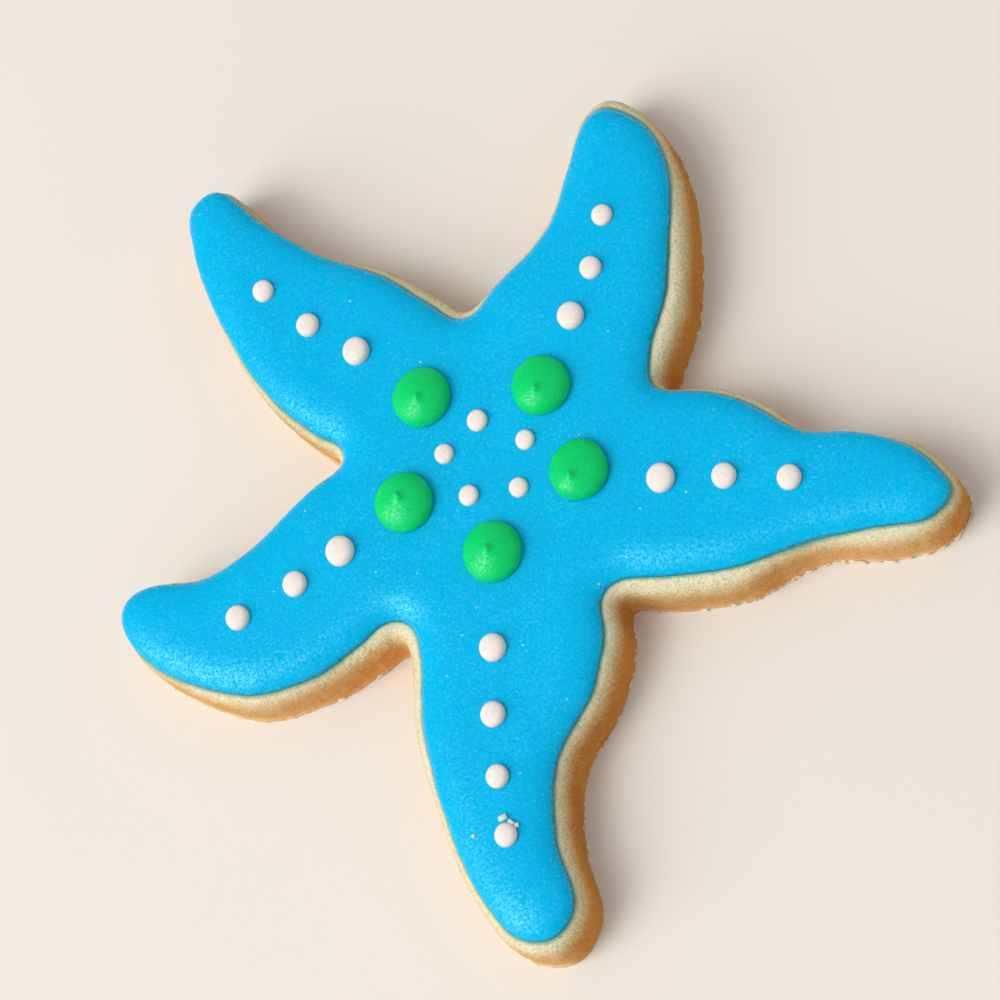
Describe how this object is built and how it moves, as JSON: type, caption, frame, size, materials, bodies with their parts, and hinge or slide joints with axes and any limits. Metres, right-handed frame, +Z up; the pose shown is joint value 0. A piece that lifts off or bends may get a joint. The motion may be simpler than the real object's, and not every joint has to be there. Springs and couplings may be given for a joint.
{
  "type": "iced sugar cookie",
  "caption": "Starfish-shaped sugar cookie lying flat, with smooth blue icing, domed green dots round the middle and small white dots along the arms.",
  "frame": {"origin": "under the middle of the cookie's box, on the face it rests on", "axes": "+Z up through the icing; looking down on the icing with the arm that carries four white dots towards -Y, +X is to the right"},
  "size_m": [0.0968, 0.0986, 0.0123],
  "materials": {
    "biscuit": "baked sugar cookie dough, matt and finely grainy, pale on top and golden brown down the sides",
    "blue_icing": "dried flood icing, smooth with a soft satin sheen and fine sugar specks",
    "green_icing": "piped royal icing, smooth with a soft satin sheen",
    "white_icing": "piped royal icing, creamy white, smooth with a soft satin sheen",
    "sugar": "coarse crystals of brown sugar, glassy and amber"
  },
  "bodies": {
    "root": {"biscuit": "biscuit", "blue_icing": "blue_icing", "green_dot_1": "green_icing", "green_dot_2": "green_icing", "green_dot_3": "green_icing", "green_dot_4": "green_icing", "green_dot_5": "green_icing"}
  },
  "joints": []
}
